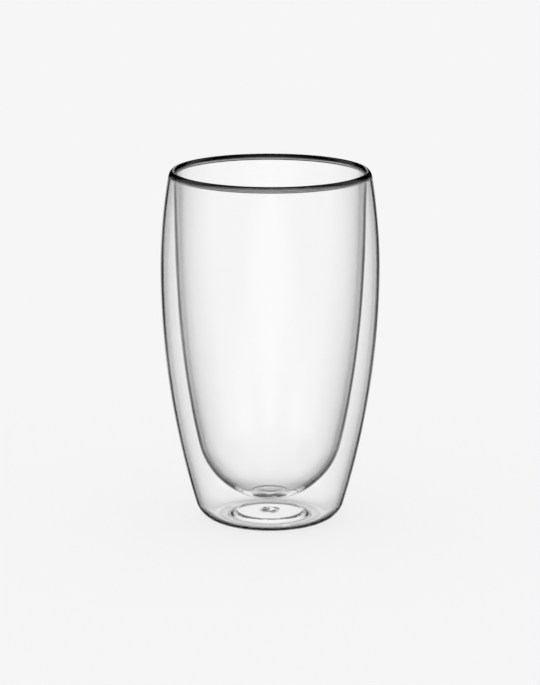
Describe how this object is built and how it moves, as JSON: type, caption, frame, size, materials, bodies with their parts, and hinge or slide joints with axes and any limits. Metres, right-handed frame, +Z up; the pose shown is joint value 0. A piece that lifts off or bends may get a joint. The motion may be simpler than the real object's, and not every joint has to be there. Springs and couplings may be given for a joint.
{
  "type": "double walled glass cup",
  "caption": "Tall double walled drinking glass: a blown bowl hangs from a fire polished lip inside a bellied outer wall with a round foot and a dished base, and sealed air between the walls.",
  "frame": {"origin": "on the table, at the centre of the foot", "axes": "+Z up, the axis about which the cup is round"},
  "size_m": [0.0874, 0.0874, 0.142],
  "materials": {
    "clear_glass": "clear, fire polished borosilicate",
    "seal_glass": "clear glass, melted shut, slightly uneven"
  },
  "bodies": {
    "root": {"outer_wall": "clear_glass", "inner_wall": "clear_glass", "lip_ring": "clear_glass", "base_seal": "seal_glass"}
  },
  "joints": []
}
